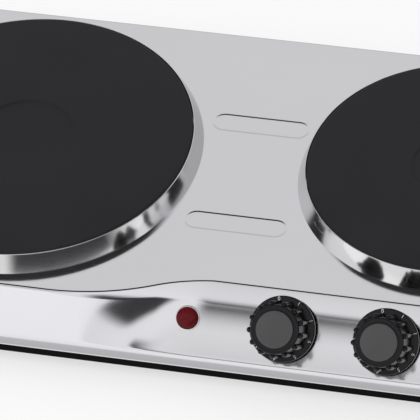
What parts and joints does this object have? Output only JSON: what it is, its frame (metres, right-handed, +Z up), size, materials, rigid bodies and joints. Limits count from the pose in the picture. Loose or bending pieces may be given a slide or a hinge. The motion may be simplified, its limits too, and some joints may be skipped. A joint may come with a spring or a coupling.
{
  "type": "hot plate burner",
  "caption": "Table-top electric hot plate: cast-iron plates in steel rims on a polished steel housing, with a thermostat knob for each plate on a swept-back front panel.",
  "frame": {"origin": "on the floor under the middle of the overall box", "axes": "+X to the right along the front, +Y to the back wall with the cord entry, +Z up"},
  "size_m": [0.4352, 0.2328, 0.0632],
  "materials": {
    "polished_steel": "polished stainless steel sheet",
    "trim_steel": "polished stainless steel trim",
    "black_enamel": "black enamelled steel",
    "cast_iron": "matte heat-proof black",
    "foot_rubber": "matte black",
    "knob_black": "glossy black",
    "cap_grey": "satin dark grey",
    "lens_red": "translucent dark red",
    "bezel_chrome": "bright",
    "gland_black": "matte black",
    "zinc_steel": "zinc-plated",
    "element_sheath": "heat-darkened",
    "mineral_fibre": "pressed fibre",
    "phenolic_brown": "moulded phenolic",
    "white_plastic": "matte white",
    "earth_brass": "plain",
    "lead_sleeve": "silicone sleeve"
  },
  "bodies": {
    "hot_plate": {"back_left_foot": "foot_rubber", "back_right_foot": "foot_rubber", "base_pan": "black_enamel", "base_screws": "zinc_steel", "cord_gland": "gland_black", "earth_lead": "lead_sleeve", "earth_nut": "earth_brass", "earth_stud": "earth_brass", "foot_nuts": "zinc_steel", "foot_screws": "zinc_steel", "front_left_foot": "foot_rubber", "front_right_foot": "foot_rubber", "gland_nut": "gland_black", "lamp_leads": "lead_sleeve", "large_clamp_bridge": "zinc_steel", "large_clamp_nut": "zinc_steel", "large_clamp_stud": "zinc_steel", "large_heat_shield": "zinc_steel", "large_heating_element": "element_sheath", "large_insulation": "mineral_fibre", "large_plate": "cast_iron", "large_plate_leads": "lead_sleeve", "large_thermal_cutout": "phenolic_brown", "large_trim_ring": "trim_steel", "left_lamp_bezel": "bezel_chrome", "left_lamp_body": "white_plastic", "left_lamp_lens": "lens_red", "left_thermostat": "phenolic_brown", "left_thermostat_screws": "zinc_steel", "live_leads": "lead_sleeve", "right_lamp_bezel": "bezel_chrome", "right_lamp_body": "white_plastic", "right_lamp_lens": "lens_red", "right_thermostat": "phenolic_brown", "right_thermostat_screws": "zinc_steel", "small_clamp_bridge": "zinc_steel", "small_clamp_nut": "zinc_steel", "small_clamp_stud": "zinc_steel", "small_heat_shield": "zinc_steel", "small_heating_element": "element_sheath", "small_insulation": "mineral_fibre", "small_plate": "cast_iron", "small_plate_leads": "lead_sleeve", "small_thermal_cutout": "phenolic_brown", "small_trim_ring": "trim_steel", "terminal_block": "white_plastic", "terminal_screws": "zinc_steel", "top_housing": "polished_steel"},
    "left_knob_assembly": {"left_knob": "knob_black", "left_knob_cap": "cap_grey", "left_shaft": "zinc_steel"},
    "right_knob_assembly": {"right_knob": "knob_black", "right_knob_cap": "cap_grey", "right_shaft": "zinc_steel"}
  },
  "joints": [
    {"name": "left_knob_turn", "type": "hinge", "parent": "hot_plate", "child": "left_knob_assembly", "pos_m": [0.0524, -0.08923, 0.03622], "axis": [0, -0.7043, 0.7099], "range_deg": [-270, 0]},
    {"name": "right_knob_turn", "type": "hinge", "parent": "hot_plate", "child": "right_knob_assembly", "pos_m": [0.1061, -0.08923, 0.03622], "axis": [0, -0.7043, 0.7099], "range_deg": [-270, 0]}
  ]
}
